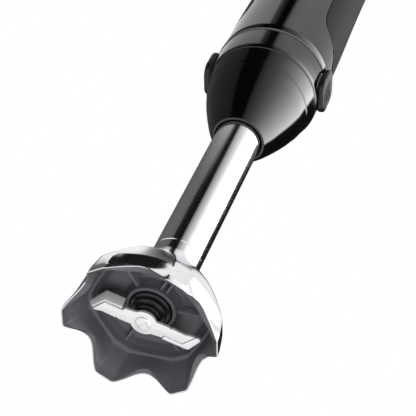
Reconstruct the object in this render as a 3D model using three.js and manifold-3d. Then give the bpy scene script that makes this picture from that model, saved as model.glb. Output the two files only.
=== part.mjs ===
// Immersion blender, standing on the six feet of its bell.
// Millimetres. Z runs up the shaft, the origin is the middle of the bell's rim plane.
// The feet lie at 0, 60, 120 ... degrees, the switches face -Y and the release buttons are at +X and -X.
import * as THREE from 'three';
import { mergeVertices } from 'three/addons/utils/BufferGeometryUtils.js';
import Module from 'manifold-3d';

const wasm = await Module();
wasm.setup();

// ---- driving dimensions -------------------------------------------------------------------------
const GAP = 0.3;                 // clearance between neighbouring solids
const RUNNING = 0.08;            // radial clearance of a shaft in its bush

const FEET = 6;
const FOOT_RADIUS = 33.7;        // middle of a foot at the rim
const FOOT_HALF_WIDTH = 4;       // the flat band that runs from each foot up the dome
const ARCH_HALF_WIDTH = 12.8;    // opening between two feet
const ARCH_HEIGHT = 6.9;
const STEEL_WALL = 0.9;
const LINER_WALL = 1.7;
const DOME_TOP = 33;
const TUBE_RADIUS = 11.06;
const TUBE_WALL = 0.9;

const SHAFT_RADIUS = 2.5;
const BLADE_BOTTOM = 6;
const BLADE_THICKNESS = 1.3;
const BLADE_ANGLE = 9;           // degrees from +X

const COUPLING_MOUTH = 143.3;    // lower lip of the coupling round the tube
const COUPLING_TOP = 200.6;
const SEAM_RADIUS = 28.2;
const SEAM = 202.3;              // underside of the handle
const HANDLE_TOP = 381;
const GRIP_DEPTH = 1.9;
const GRIP_BOTTOM = 214.6;
const GRIP_TOP = 372;

const RELEASE_CENTRE = 197;      // height of the release buttons' centre
const RELEASE_HEIGHT = 19.5;
const RELEASE_WIDTH = 18;
const POWER_BUTTON = 338;
const TURBO_BUTTON = 306;

const DIAL_Y = -6.5;
const GLAND_Y = 12.4;

// ---- from three.js geometry to closed solids and back ------------------------------------------
function solid(geometry) {
  const plain = geometry.index ? geometry.toNonIndexed() : geometry.clone();
  plain.deleteAttribute('normal');
  plain.deleteAttribute('uv');
  const merged = mergeVertices(plain, 1e-4);
  const places = merged.attributes.position.array;
  const corner = (i) => new THREE.Vector3(places[3 * i], places[3 * i + 1], places[3 * i + 2]);
  const faces = [];
  let volume = 0;
  for (let i = 0; i < merged.index.count; i += 3) {
    const [a, b, c] = [0, 1, 2].map((k) => merged.index.getX(i + k));
    if (a === b || b === c || c === a) continue;
    faces.push([a, b, c]);
    volume += corner(a).dot(corner(b).cross(corner(c)));
  }
  const ordered = faces.map(([a, b, c]) => (volume < 0 ? [a, c, b] : [a, b, c]));
  return new wasm.Manifold(new wasm.Mesh({
    numProp: 3,
    vertProperties: new Float32Array(places),
    triVerts: new Uint32Array(ordered.flat()),
  }));
}

function geometryOf(body) {
  const mesh = body.getMesh();
  const geometry = new THREE.BufferGeometry();
  geometry.setAttribute('position', new THREE.BufferAttribute(new Float32Array(mesh.vertProperties), 3));
  geometry.setIndex(new THREE.BufferAttribute(new Uint32Array(mesh.triVerts), 1));
  geometry.computeVertexNormals();
  return geometry;
}

const join = (...bodies) => bodies.reduce((sum, body) => sum.add(body));
const cut = (body, ...tools) => tools.reduce((rest, tool) => rest.subtract(tool), body);

// ---- simple shapes ------------------------------------------------------------------------------
// a closed profile of [radius, height] points, turned about Z
function latheGeometry(profile, segments = 20) {
  const points = [...profile, profile[0]].map(([radius, height]) => new THREE.Vector2(radius, height));
  return new THREE.LatheGeometry(points, segments).rotateX(Math.PI / 2);
}
const turned = (profile, segments) => solid(latheGeometry(profile, segments));

function ring(inner, outer, low, high, segments = 20) {
  return turned([[inner, low], [outer, low], [outer, high], [inner, high]], segments);
}

function rod(radius, low, high, segments = 16) {
  return solid(new THREE.CylinderGeometry(radius, radius, high - low, segments)
    .rotateX(Math.PI / 2)
    .translate(0, 0, (low + high) / 2));
}

function block(x0, x1, y0, y1, z0, z1) {
  return solid(new THREE.BoxGeometry(x1 - x0, y1 - y0, z1 - z0)
    .translate((x0 + x1) / 2, (y0 + y1) / 2, (z0 + z1) / 2));
}

// an outline in the X-Y plane, raised from one height to another
function plate(shape, low, high, curveSegments = 3) {
  const options = { depth: high - low, bevelEnabled: false, curveSegments };
  return solid(new THREE.ExtrudeGeometry(shape, options).translate(0, 0, low));
}

// an outline whose x runs round the object and whose y is height, pushed out along a radius
function outward(shape, angle, near, far, curveSegments = 3) {
  const options = { depth: far - near, bevelEnabled: false, curveSegments };
  const radial = new THREE.Vector3(Math.cos(angle), Math.sin(angle), 0);
  const round = new THREE.Vector3(-Math.sin(angle), Math.cos(angle), 0);
  const turn = new THREE.Matrix4().makeBasis(round, new THREE.Vector3(0, 0, 1), radial);
  return solid(new THREE.ExtrudeGeometry(shape, options).translate(0, 0, near).applyMatrix4(turn));
}

function roundedRectangle(width, height, radius, centreX = 0, centreY = 0) {
  const [x, y] = [centreX - width / 2, centreY - height / 2];
  const shape = new THREE.Shape();
  shape.moveTo(x + radius, y);
  shape.lineTo(x + width - radius, y);
  shape.absarc(x + width - radius, y + radius, radius, -Math.PI / 2, 0);
  shape.lineTo(x + width, y + height - radius);
  shape.absarc(x + width - radius, y + height - radius, radius, 0, Math.PI / 2);
  shape.lineTo(x + radius, y + height);
  shape.absarc(x + radius, y + height - radius, radius, Math.PI / 2, Math.PI);
  shape.lineTo(x, y + radius);
  shape.absarc(x + radius, y + radius, radius, Math.PI, 1.5 * Math.PI);
  return shape;
}

const polygon = (points) => new THREE.Shape(points.map(([x, y]) => new THREE.Vector2(x, y)));
const radians = THREE.MathUtils.degToRad;
const RIGHT = 0;
const LEFT = Math.PI;
const FRONT = -Math.PI / 2;
const SIDES = [['right', RIGHT], ['left', LEFT]];

// ---- the finished pieces ------------------------------------------------------------------------
const blender = new THREE.Group();

function add(name, body, finish) {
  const mesh = new THREE.Mesh(geometryOf(body), new THREE.MeshStandardMaterial(finish));
  mesh.name = name;
  blender.add(mesh);
}

const POLISHED_STEEL = { color: 0xd8dadd, roughness: 0.12, metalness: 1 };
const GROUND_STEEL = { color: 0xc4c6c9, roughness: 0.35, metalness: 1 };
const DARK_PLASTIC = { color: 0x3c3c40, roughness: 0.5, metalness: 0 };
const BLACK_GLOSS = { color: 0x08080a, roughness: 0.08, metalness: 0 };
const SOFT_BLACK = { color: 0x1c1c1e, roughness: 0.75, metalness: 0 };
const BLACK_RUBBER = { color: 0x101012, roughness: 0.6, metalness: 0 };
const NATURAL_PLASTIC = { color: 0xd9d6cc, roughness: 0.5, metalness: 0 };
const BRONZE = { color: 0xa9793f, roughness: 0.4, metalness: 1 };
const LAMINATION = { color: 0x6e7074, roughness: 0.45, metalness: 1 };
const COPPER = { color: 0xb4622d, roughness: 0.35, metalness: 1 };
const CARBON = { color: 0x161616, roughness: 0.8, metalness: 0 };
const BOARD_GREEN = { color: 0x1d5a34, roughness: 0.5, metalness: 0 };

// ---- the bell -----------------------------------------------------------------------------------
// outer profile of the dome through the middle of a foot
const DOME = [
  [FOOT_RADIUS, 0], [33.6, 3], [33, 7], [32.2, 11], [31.2, 14.5], [27.6, 21], [23.6, 26.6],
  [18.2, 30.8], [13, 33.6], [11.5, DOME_TOP + 4.5],
];
const ROUND_FROM = 17;           // above this height the twelve-sided section turns into a circle
const ROUND_AT = 27;
// how far the panels leave the flat: -1 is as hollow as a circle would be full, 0 flat, 1 the circle
const FULLNESS = [[0, -0.3], [5, -0.85], [9, -0.75], [14, 0], [20, 0.7], [60, 1]];
function fullness(height) {
  const i = Math.max(FULLNESS.findIndex(([z]) => z >= height), 1);
  const [[z0, f0], [z1, f1]] = [FULLNESS[i - 1], FULLNESS[i]];
  return THREE.MathUtils.mapLinear(Math.max(height, 0), z0, z1, f0, f1);
}

function inset(profile, depth) {
  return profile.map(([radius, height], i) => {
    const before = profile[Math.max(i - 1, 0)];
    const after = profile[Math.min(i + 1, profile.length - 1)];
    const along = new THREE.Vector2(after[0] - before[0], after[1] - before[1]).normalize();
    const drop = i === 0 ? 0 : along.x * depth;
    return [radius - along.y * depth, height + drop];
  });
}

// Six flat bands of constant width, one above each foot, with a panel between each two that is
// hollow at the rim and full above it.
// The turned geometry has six steps to each foot: two across the band and four across the panel.
function faceted(profile) {
  const geometry = latheGeometry(profile, FEET * 6);
  const places = geometry.attributes.position;
  for (let i = 0; i < places.count; i += 1) {
    const radius = Math.hypot(places.getX(i), places.getY(i));
    const height = places.getZ(i);
    const angle = Math.atan2(places.getY(i), places.getX(i));
    const step = Math.round((angle / (2 * Math.PI)) * FEET * 6);
    const foot = Math.round(step / 6);
    const across = step - foot * 6;
    const side = Math.sign(across);
    const crease = new THREE.Vector2(radius, side * FOOT_HALF_WIDTH);
    const reach = radius * Math.cos(Math.PI / FEET) + FOOT_HALF_WIDTH * Math.sin(Math.PI / FEET);
    const middle = new THREE.Vector2(reach, 0).rotateAround(new THREE.Vector2(), side * Math.PI / FEET);
    const flat = Math.abs(across) < 2
      ? new THREE.Vector2(radius, across * FOOT_HALF_WIDTH)
      : crease.clone().lerp(middle, (Math.abs(across) - 1) / 2);
    if (Math.abs(across) > 1) {
      flat.setLength(THREE.MathUtils.lerp(flat.length(), crease.length(), fullness(height)));
    }
    const circle = flat.clone().setLength(radius * 1.004);
    flat.lerp(circle, THREE.MathUtils.smoothstep(height, ROUND_FROM, ROUND_AT));
    flat.rotateAround(new THREE.Vector2(), (foot * 2 * Math.PI) / FEET);
    places.setXY(i, flat.x, flat.y);
  }
  return solid(geometry);
}

// the rim rises in a rounded arch between each two feet
function arches(extra = 0) {
  const steps = 8;
  const below = -3;
  const outline = [[-ARCH_HALF_WIDTH - extra, below]];
  for (let i = 0; i <= steps; i += 1) {
    const place = (2 * i) / steps - 1;
    const rise = Math.max(Math.cos((place * Math.PI) / 2), 0) ** 1.3;
    outline.push([place * (ARCH_HALF_WIDTH + extra), ARCH_HEIGHT * rise + (i % steps ? extra : 0)]);
  }
  outline.push([ARCH_HALF_WIDTH + extra, below]);
  const shape = polygon(outline);
  return Array.from({ length: FEET }, (_, i) => outward(shape, ((i + 0.5) * 2 * Math.PI) / FEET, 15, 45));
}

function bellShell() {
  const inside = inset(DOME, STEEL_WALL).reverse();
  return cut(faceted([...DOME, ...inside]), ...arches());
}

const CHAMBER_STEP = 13.4;       // height of the edge where the liner's skirt ends
const CHAMBER_ROOF = 21;
const BOSS_RADIUS = 11;
const SEAL_RADIUS = 9.1;
function splashLiner() {
  const outside = inset(DOME, STEEL_WALL + GAP + 0.3).filter(([, height]) => height < 20);
  const inside = [
    [22.6, CHAMBER_ROOF + LINER_WALL + 0.2], [BOSS_RADIUS + 1, CHAMBER_ROOF + LINER_WALL + 0.2],
    [BOSS_RADIUS + 1, 26.5], [SEAL_RADIUS + GAP, 26.5],
    [SEAL_RADIUS + GAP, 15], [BOSS_RADIUS, 15], [BOSS_RADIUS + 0.6, CHAMBER_ROOF - 1.5],
    [13.5, CHAMBER_ROOF], [21.5, CHAMBER_ROOF - 0.4], [23.6, CHAMBER_ROOF - 3],
    [25, CHAMBER_STEP + 0.8], [26.3, CHAMBER_STEP], [28.9, 6.4], [31.2, 0],
  ];
  const bowl = faceted([...outside, ...inside]);
  const ribs = Array.from({ length: FEET }, (_, i) => {
    const rib = block(BOSS_RADIUS - 0.2, 24.2, -0.6, 0.6, 16.2, CHAMBER_ROOF + 0.5);
    const pair = join(rib.translate([0, -1.3, 0]), rib.translate([0, 1.3, 0]));
    return (i % 2 ? pair : rib).rotate([0, 0, i * 60]);
  });
  return cut(join(bowl, ...ribs), ...arches());
}

add('bell_shell', bellShell(), POLISHED_STEEL);
add('splash_liner', splashLiner(), DARK_PLASTIC);

// ---- tube, bushes and seal ----------------------------------------------------------------------
const TUBE_BOTTOM = DOME_TOP + 5;
const TUBE_TOP = 152;
const BORE = TUBE_RADIUS - TUBE_WALL;
add('shaft_tube', ring(BORE, TUBE_RADIUS, TUBE_BOTTOM, TUBE_TOP, 28), POLISHED_STEEL);

const BUSH_RADIUS = 5.2;
add('bush_housing', turned([
  [BUSH_RADIUS + GAP, 17.6], [SEAL_RADIUS, 17.6], [SEAL_RADIUS, 27], [BORE - GAP - 0.4, 39],
  [BORE - GAP, 40], [BORE - GAP, 56], [BUSH_RADIUS + GAP, 56],
], 18), NATURAL_PLASTIC);
add('lower_bush', ring(SHAFT_RADIUS + RUNNING, BUSH_RADIUS, 18, 40, 16), BRONZE);

// three stepped lips, the smallest nearest the blade
add('shaft_seal', turned([
  [SHAFT_RADIUS + RUNNING, 9.6], [5.6, 9.6], [6.1, 10.2], [6.1, 11.4], [7.2, 11.7], [7.7, 12.3], [7.7, 13.6],
  [8.6, 13.9], [SEAL_RADIUS, 14.5], [SEAL_RADIUS, 17.3], [SHAFT_RADIUS + RUNNING, 17.3],
], 18), BLACK_RUBBER);

// ---- blade and its shaft ------------------------------------------------------------------------
const BLADE_TOP = BLADE_BOTTOM + BLADE_THICKNESS;
function bladeOutline() {
  const wing = [
    [5.2, -3.1], [8.6, -3.1], [9.2, -2.7], [20.6, -3.2], [24.3, -0.9], [24.4, 0.4], [20.6, 6.6], [18.6, 7],
    [9, 6.5], [8.9, 4.2], [9.4, 3.2], [5.2, 3.1],
  ];
  const bare = wing.slice(0, 7).concat([[20.4, 3.4], [9.4, 3.2], [5.2, 3.1]]);
  return { wing, bare };
}
function blade() {
  const { wing, bare } = bladeOutline();
  const hub = rod(5.8, BLADE_BOTTOM, BLADE_TOP, 18);
  const flat = plate(polygon(wing), BLADE_BOTTOM, BLADE_TOP);
  const folded = plate(polygon(bare), BLADE_BOTTOM, BLADE_TOP);
  const flap = block(10.5, 19.5, 2.1, 3.4, BLADE_TOP - 0.2, BLADE_TOP + 4.4);
  const body = join(hub, flat, join(folded, flap).rotate([0, 0, 180]));
  return cut(body, rod(SHAFT_RADIUS + GAP, 0, 20, 16)).rotate([0, 0, BLADE_ANGLE]);
}
add('blade', blade(), GROUND_STEEL);

// rivet head with two notches for the tool that closed it
function bladeRivet() {
  const notch = turned([[2, 4.9], [2.9, 4.9], [2.9, 5.6], [2, 5.6]], 16)
    .intersect(join(block(-3, 3, 0.7, 3, 4, 6), block(-3, 3, -3, -0.7, 4, 6)));
  const head = turned([[0, 5], [3.2, 5], [3.6, 5.3], [3.6, BLADE_BOTTOM - GAP], [0, BLADE_BOTTOM - GAP]], 16);
  return cut(head, notch);
}
add('blade_rivet', bladeRivet(), GROUND_STEEL);
add('blade_collar', ring(SHAFT_RADIUS + GAP, 4.6, BLADE_TOP + GAP, 9.3, 16), GROUND_STEEL);

const DOG_BOTTOM = 177;
const DOG_TOP = 191.5;
add('drive_shaft', rod(SHAFT_RADIUS, BLADE_BOTTOM, DOG_BOTTOM + 8, 16), POLISHED_STEEL);

// four-lobed dog that fits the socket under the motor
const DOG_REACH = 5.6;
const DOG_HALF_WIDTH = 2.6;
function cross(reach, halfWidth) {
  const [r, w] = [reach, halfWidth];
  return polygon([
    [r, -w], [r, w], [w, w], [w, r], [-w, r], [-w, w], [-r, w], [-r, -w], [-w, -w], [-w, -r], [w, -r], [w, -w],
  ]);
}
function driveDog() {
  const flange = rod(7.2, DOG_BOTTOM, DOG_BOTTOM + 2.5, 16);
  const lobes = plate(cross(DOG_REACH, DOG_HALF_WIDTH), DOG_BOTTOM + 2, DOG_TOP);
  return cut(join(flange, lobes), rod(SHAFT_RADIUS + GAP / 4, DOG_BOTTOM - 1, DOG_BOTTOM + 8.3, 16));
}
add('drive_dog', driveDog(), NATURAL_PLASTIC);
add('shaft_washer', ring(SHAFT_RADIUS + GAP / 2, 5, DOG_BOTTOM - 1.6, DOG_BOTTOM - GAP, 16), GROUND_STEEL);

// ---- coupling -----------------------------------------------------------------------------------
const COUPLING = [
  [12.4, COUPLING_MOUTH - 0.3], [13.2, COUPLING_MOUTH + 0.5], [16.4, 149.6], [19, 156.4], [21.4, 163.4],
  [23.6, 170], [25.2, 175.2], [27, 183.6], [27.9, 185.4], [SEAM_RADIUS, COUPLING_TOP],
];
function releasePocket(angle, extra) {
  const shape = roundedRectangle(RELEASE_WIDTH + 2 * extra, RELEASE_HEIGHT + 2 * extra, 6, 0, RELEASE_CENTRE);
  return outward(shape, angle, 22, 40);
}
// the coupling's pockets run out through its top, so the buttons lift away with the handle
function couplingPockets(depth) {
  const half = RELEASE_WIDTH / 2 + GAP;
  const slot = roundedRectangle(2 * half, 60, 6, 0, RELEASE_CENTRE - RELEASE_HEIGHT / 2 - GAP + 30);
  return SIDES.map(([, angle]) => outward(slot, angle, depth, 40));
}

function couplingShell() {
  const wall = 2;
  const inside = [
    [SEAM_RADIUS - wall - 0.2, COUPLING_TOP], [25.8, 185.6], [25, 183.6], [23.4, 176], [21.6, 170], [19.4, 163.4],
    [17, 156.4], [14.4, 150.4], [11.6, COUPLING_MOUTH + 3], [11.6, COUPLING_MOUTH],
  ];
  return cut(turned([...COUPLING, ...inside], 36), ...couplingPockets(20));
}
add('coupling_shell', couplingShell(), BLACK_GLOSS);
add('seam_ring', cut(
  ring(22, SEAM_RADIUS + 0.4, COUPLING_TOP + GAP, SEAM - GAP, 36),
  ...couplingPockets(22.9),
), DARK_PLASTIC);

// The core closes round the top of the tube and carries the upper bush and the drive cup.
// Its cup is open at the top, and the two latch hooks reach down outside it.
const CUP_RADIUS = 14;
function couplingCore() {
  return turned([
    [BUSH_RADIUS + GAP, 158], [TUBE_RADIUS + GAP + 1.4, 158], [TUBE_RADIUS + GAP + 1.6, 155.6],
    [14.6, 155.6], [16.2, 160], [16.2, 172], [CUP_RADIUS + 1.6, 174.5], [CUP_RADIUS + 1.6, 184],
    [CUP_RADIUS, 184], [CUP_RADIUS, 175], [BUSH_RADIUS + GAP, 175],
  ], 32);
}
add('coupling_core', couplingCore(), DARK_PLASTIC);
add('upper_bush', ring(SHAFT_RADIUS + RUNNING, BUSH_RADIUS, 160, 174, 16), BRONZE);

// ---- handle casing ------------------------------------------------------------------------------
const HANDLE = [
  [SEAM_RADIUS, SEAM], [SEAM_RADIUS, 215], [28, 240], [27.3, 275], [27, 305], [27.3, 335], [27.8, 362],
  [27.4, HANDLE_TOP],
];
function handleRadius(height) {
  const i = HANDLE.findIndex(([, z]) => z >= height);
  const [[r0, z0], [r1, z1]] = [HANDLE[Math.max(i - 1, 0)], HANDLE[Math.max(i, 1)]];
  return THREE.MathUtils.mapLinear(height, z0, z1, r0, r1);
}
// a stretch of the handle's surface, between two depths below it
function skin(low, high, deep, shallow, segments = 36) {
  const heights = [low, ...HANDLE.map(([, z]) => z).filter((z) => z > low + 1 && z < high - 1), high];
  const outer = heights.map((z) => [handleRadius(z) - shallow, z]);
  const inner = heights.map((z) => [handleRadius(z) - deep, z]).reverse();
  return turned([...outer, ...inner], segments);
}

// front view of the gloss strip between the two edges of the soft grip
function frontStrip(extra) {
  const half = [
    [27.6, GRIP_BOTTOM - 8], [27.6, 218], [27, 223], [24, 226.4], [20.6, 230.6], [19.4, 240], [19, 300],
    [19.4, 350], [20.6, 361], [24, 366.6], [27.6, 369], [27.6, GRIP_TOP + 8],
  ].map(([x, z]) => [x + extra, z]);
  const outline = [...half, ...half.map(([x, z]) => [-x, z]).reverse()];
  return outward(polygon(outline), FRONT, 0, 40);
}
function gripSleeve() {
  const wrap = skin(GRIP_BOTTOM + GAP, GRIP_TOP - GAP, GRIP_DEPTH, -0.1);
  return cut(wrap, frontStrip(GAP));
}
function buttonHole(height) {
  return outward(roundedRectangle(17 + 2 * GAP, 22 + 2 * GAP, 8, 0, height), FRONT, 15, 40);
}
function handleShell() {
  const wall = GRIP_DEPTH + GAP + 1.6;
  const recess = cut(skin(GRIP_BOTTOM, GRIP_TOP, GRIP_DEPTH + GAP, -5), frontStrip(0));
  return cut(
    skin(SEAM, HANDLE_TOP, wall, 0),
    recess,
    buttonHole(POWER_BUTTON),
    buttonHole(TURBO_BUTTON),
    ...SIDES.map(([, angle]) => releasePocket(angle, GAP)),
  );
}
add('handle_shell', handleShell(), BLACK_GLOSS);
add('grip_sleeve', gripSleeve(), SOFT_BLACK);

// ---- handle base with the nose that enters the coupling ----------------------------------------
const INNER = SEAM_RADIUS - GRIP_DEPTH - GAP - 1.6;
const SOCKET_RADIUS = 9.6;
const SOCKET_BOTTOM = 181;
const SOCKET_TOP = 198.5;
function basePlate() {
  const nose = turned([
    [17.6, 187], [19.4, 187], [19.8, 187.6], [19.8, 203], [INNER - GAP, 203], [INNER - GAP, 206.4],
    [SOCKET_RADIUS + 2, 206.4], [SOCKET_RADIUS + 2, 203.4], [17.6, 203.4],
  ], 30);
  return cut(nose, ...SIDES.map(([, angle]) => outward(
    roundedRectangle(14, 40, 2, 0, RELEASE_CENTRE - 4),
    angle,
    15,
    40,
  )));
}
add('base_plate', basePlate(), DARK_PLASTIC);

// ---- release buttons and latch hooks -------------------------------------------------------------
function releaseButton(angle) {
  const face = roundedRectangle(RELEASE_WIDTH, RELEASE_HEIGHT, 6 - GAP, 0, RELEASE_CENTRE);
  const raised = roundedRectangle(RELEASE_WIDTH - 3, RELEASE_HEIGHT - 3, 5, 0, RELEASE_CENTRE);
  return join(outward(face, angle, 27.2, 29.9), outward(raised, angle, 29.5, 31));
}
// a flat arm behind the button, with a catch on its inner face
function latchHook(angle) {
  const arm = outward(roundedRectangle(10, 17, 1, 0, RELEASE_CENTRE + 0.5), angle, 25.3, 26.9);
  const tooth = outward(roundedRectangle(10, 3.2, 1, 0, RELEASE_CENTRE - 5), angle, 24.4, 25.6);
  return join(arm, tooth);
}
function releaseSpring(angle) {
  const shape = polygon([
    [20.1, 200.4], [20.7, 200.4], [21.4, 197], [21.4, 191], [20.8, 191], [20.8, 196.8],
  ]);
  const options = { depth: 5, bevelEnabled: false };
  const geometry = new THREE.ExtrudeGeometry(shape, options).translate(0, 0, -2.5).rotateX(Math.PI / 2);
  return solid(geometry.rotateZ(angle));
}
SIDES.forEach(([side, angle]) => {
  add(`release_button_${side}`, releaseButton(angle), SOFT_BLACK);
  add(`latch_hook_${side}`, latchHook(angle), NATURAL_PLASTIC);
  add(`release_spring_${side}`, releaseSpring(angle), GROUND_STEEL);
});

// ---- motor ----------------------------------------------------------------------------------------
const ROTOR_RADIUS = 13.6;
const MOTOR_SCREW_X = 17.6;
const FIELD_LOW = 224;
const FIELD_HIGH = 264;
add('drive_socket', cut(
  turned([[0, SOCKET_BOTTOM], [SOCKET_RADIUS - 1.2, SOCKET_BOTTOM], [SOCKET_RADIUS, SOCKET_BOTTOM + 1.2],
    [SOCKET_RADIUS, SOCKET_TOP - 3], [6, SOCKET_TOP], [0, SOCKET_TOP]], 18),
  plate(cross(DOG_REACH + 0.5, DOG_HALF_WIDTH + 0.5), SOCKET_BOTTOM - 2, DOG_TOP + 1),
  rod(SHAFT_RADIUS + GAP / 2, 193.7, SOCKET_TOP + 2, 16),
), BLACK_RUBBER);
add('motor_shaft', rod(SHAFT_RADIUS, 194, 296, 16), POLISHED_STEEL);

function coolingFan() {
  const vane = block(5, 19.5, -0.6, 0.6, 210, 215.4);
  const vanes = Array.from({ length: 8 }, (_, i) => vane.rotate([0, 0, i * 45]));
  return join(ring(SHAFT_RADIUS + GAP / 2, 5.6, 208.6, 215.4, 16), ring(5, 20, 208.6, 210.2, 20), ...vanes);
}
add('cooling_fan', coolingFan(), NATURAL_PLASTIC);

const BEARING_RADIUS = 6.6;
function bracket(low, high, bearingLow) {
  const bar = roundedRectangle(46, 18, 6);
  const seat = rod(BEARING_RADIUS + 2.4, Math.min(low, bearingLow - 1), Math.max(high, bearingLow + 5), 18);
  const holes = [-1, 1].map((side) => rod(1.6 + GAP, low - 2, high + 2, 16).translate([side * MOTOR_SCREW_X, 0, 0]));
  return cut(
    join(plate(bar, low, high), seat),
    rod(BEARING_RADIUS + GAP / 2, bearingLow - GAP, bearingLow + 9, 18),
    rod(SHAFT_RADIUS + 1, low - 9, high + 9, 20),
    ...holes,
  );
}
add('motor_bracket_lower', bracket(217, 221, 218), GROUND_STEEL);
add('bearing_lower', ring(SHAFT_RADIUS + RUNNING, BEARING_RADIUS, 218, 222.6, 18), BRONZE);
add('motor_bracket_upper', bracket(283, 286, 284), GROUND_STEEL);
add('bearing_upper', ring(SHAFT_RADIUS + RUNNING, BEARING_RADIUS, 284, 288.6, 18), BRONZE);

function motorField() {
  const stack = plate(roundedRectangle(42, 38, 14), FIELD_LOW, FIELD_HIGH);
  const windows = [-1, 1].map((side) => block(-11, 11, 0, 6.4, FIELD_LOW - 1, FIELD_HIGH + 1)
    .translate([0, side > 0 ? 10.4 : -16.8, 0]));
  const screws = [-1, 1].map((side) => rod(1.6 + GAP, FIELD_LOW - 1, FIELD_HIGH + 1, 16)
    .translate([side * MOTOR_SCREW_X, 0, 0]));
  return cut(stack, rod(ROTOR_RADIUS + 0.6, FIELD_LOW - 1, FIELD_HIGH + 1, 32), ...windows, ...screws);
}
add('motor_field', motorField(), LAMINATION);

// each coil is a pad of wire that fills one window and stands out at both ends of the stack
const fieldCoil = block(-9.6, 9.6, 14.6, 16.5, FIELD_LOW - 2.6, FIELD_HIGH + 2.6);
add('field_coil_rear', fieldCoil, COPPER);
add('field_coil_front', fieldCoil.rotate([0, 0, 180]), COPPER);

function rotorCore() {
  const slot = block(8.5, 15, -0.8, 0.8, 220, 270);
  const slots = Array.from({ length: 8 }, (_, i) => slot.rotate([0, 0, i * 45]));
  const bore = rod(SHAFT_RADIUS + GAP / 2, 220, 270, 16);
  return cut(rod(ROTOR_RADIUS, FIELD_LOW + 1, FIELD_HIGH - 1, 24), bore, ...slots);
}
add('rotor_core', rotorCore(), LAMINATION);
add('rotor_winding', ring(SHAFT_RADIUS + GAP / 2, 11, FIELD_HIGH - 0.6, 269.4, 18), COPPER);
add('commutator', ring(SHAFT_RADIUS + GAP / 2, 8, 270, 280, 16), COPPER);

[['front', FRONT], ['rear', -FRONT]].forEach(([side, angle]) => {
  const carbon = roundedRectangle(5, 6, 0.4, 0, 275);
  const bore = roundedRectangle(5 + 2 * GAP, 6 + 2 * GAP, 0.4, 0, 275);
  const body = roundedRectangle(9, 9.6, 1, 0, 275.4);
  add(`brush_${side}`, outward(carbon, angle, 8.4, 17), CARBON);
  add(`brush_holder_${side}`, cut(outward(body, angle, 10.4, 21.5), outward(bore, angle, 9, 22)), BRONZE);
});
SIDES.forEach(([side, angle]) => {
  const x = MOTOR_SCREW_X * Math.cos(angle);
  const head = rod(3, 286.3, 288.6, 16);
  const shank = rod(1.6, 216, 287, 16);
  add(`motor_screw_${side}`, cut(join(head, shank), block(-4, 4, -0.5, 0.5, 287.8, 290)).translate([x, 0, 0]),
    GROUND_STEEL);
});

// ---- switches, board and front buttons ------------------------------------------------------------
const BUTTONS = [['power', POWER_BUTTON], ['turbo', TURBO_BUTTON]];
add('circuit_board', block(-16, 16, -6.6, -5, 293, 362), BOARD_GREEN);
BUTTONS.forEach(([name, height]) => {
  add(`${name}_switch`, join(
    block(-5, 5, -14, -6.9, height - 6, height + 6),
    block(-1.6, 1.6, -15.6, -13.5, height - 2, height + 2),
  ), BLACK_RUBBER);
  const radius = handleRadius(height);
  const cap = outward(roundedRectangle(17, 22, 8 - GAP, 0, height), FRONT, radius - 6, radius + 1.2);
  const crown = outward(roundedRectangle(14, 19, 6.4, 0, height), FRONT, radius + 0.8, radius + 2);
  const stem = outward(roundedRectangle(5, 5, 1, 0, height), FRONT, 18.3, radius - 5);
  add(`${name}_button`, join(cap, crown, stem), SOFT_BLACK);
});
add('terminal_block', block(-8, 8, 3, 12, 352, 363), NATURAL_PLASTIC);

// ---- top cap, dial and cord gland ------------------------------------------------------------------
const CAP_LOW = HANDLE_TOP + GAP;
const DIAL_RADIUS = 12;
const DIAL_FLOOR = 392;
const GLAND_RADIUS = 5.5;
function topCap() {
  const dome = [
    [0, CAP_LOW + 2], [20, CAP_LOW + 2], [20, CAP_LOW - 5], [23, CAP_LOW - 5], [23, CAP_LOW], [27.4, CAP_LOW],
    [27.2, 386], [26, 390.4], [23.4, 393.6], [20, 394.6], [0, 394.8],
  ];
  return cut(
    turned(dome, 36),
    rod(DIAL_RADIUS + GAP, DIAL_FLOOR, 400, 30).translate([0, DIAL_Y, 0]),
    rod(3.3, 370, 400, 20).translate([0, DIAL_Y, 0]),
    rod(GLAND_RADIUS + GAP, 370, 400, 16).translate([0, GLAND_Y, 0]),
  );
}
add('top_cap', topCap(), BLACK_GLOSS);

function speedDial() {
  const grips = Array.from({ length: 12 }, (_, i) => rod(0.9, 395, 400, 6)
    .translate([DIAL_RADIUS + 0.35, 0, 0]).rotate([0, 0, i * 30]));
  const body = turned([
    [0, DIAL_FLOOR + GAP], [DIAL_RADIUS, DIAL_FLOOR + GAP], [DIAL_RADIUS, 397], [DIAL_RADIUS - 1.2, 398.4],
    [0, 398.8],
  ], 30);
  return join(cut(body, ...grips), rod(3, 376, DIAL_FLOOR + 1, 20)).translate([0, DIAL_Y, 0]);
}
add('speed_dial', speedDial(), SOFT_BLACK);
add('dial_potentiometer', cut(
  block(-8, 8, DIAL_Y - 7.4, DIAL_Y + 7.4, 366, 379.5),
  rod(3.3, 375.6, 381, 20).translate([0, DIAL_Y, 0]),
), DARK_PLASTIC);

add('cord_gland', turned([
  [3.6, CAP_LOW - 6], [GLAND_RADIUS + 1.4, CAP_LOW - 6], [GLAND_RADIUS + 1.4, CAP_LOW + 2 - GAP],
  [GLAND_RADIUS, CAP_LOW + 2 - GAP], [GLAND_RADIUS, 395.4], [4.8, 397], [3.6, 397],
], 16).translate([0, GLAND_Y, 0]), BLACK_RUBBER);

export default blender;
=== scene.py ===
# Immersion blender standing on its scalloped bell: studio, finishes and fine pieces over the CAD frame.
# Lengths in this script are millimetres until they reach a Blender call, where MM turns them into metres.
import math
import bpy
from mathutils import Matrix, Vector


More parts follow.
